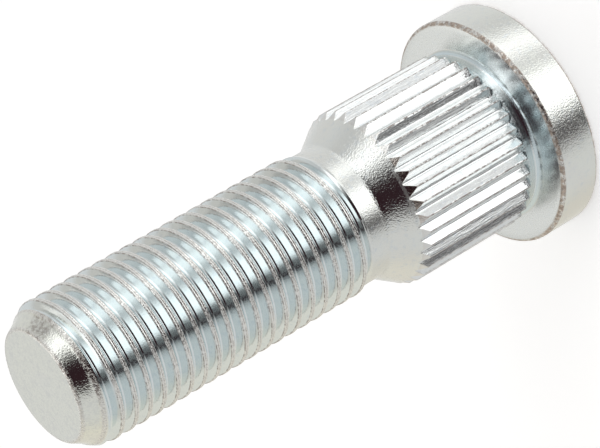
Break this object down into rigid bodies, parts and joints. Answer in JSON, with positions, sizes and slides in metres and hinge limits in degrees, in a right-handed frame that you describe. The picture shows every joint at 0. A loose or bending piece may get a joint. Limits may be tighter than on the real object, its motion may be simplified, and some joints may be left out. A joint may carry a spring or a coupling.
{
  "type": "wheel stud bolt",
  "caption": "Press-in wheel stud: round flat head, filleted seat, serrated shank, cone shoulder, plain neck, threaded end with chamfered tip.",
  "frame": {"origin": "centre of the head's flat outer face, which the stud stands on", "axes": "+Z along the stud's axis, from the head to the tip"},
  "size_m": [0.0224, 0.0224, 0.0544],
  "materials": {
    "zinc_plate": "bright zinc plate over rolled steel, satin, with darker speckle and worn tooth and thread crests"
  },
  "bodies": {
    "root": {"wheel_stud": "zinc_plate"}
  },
  "joints": []
}
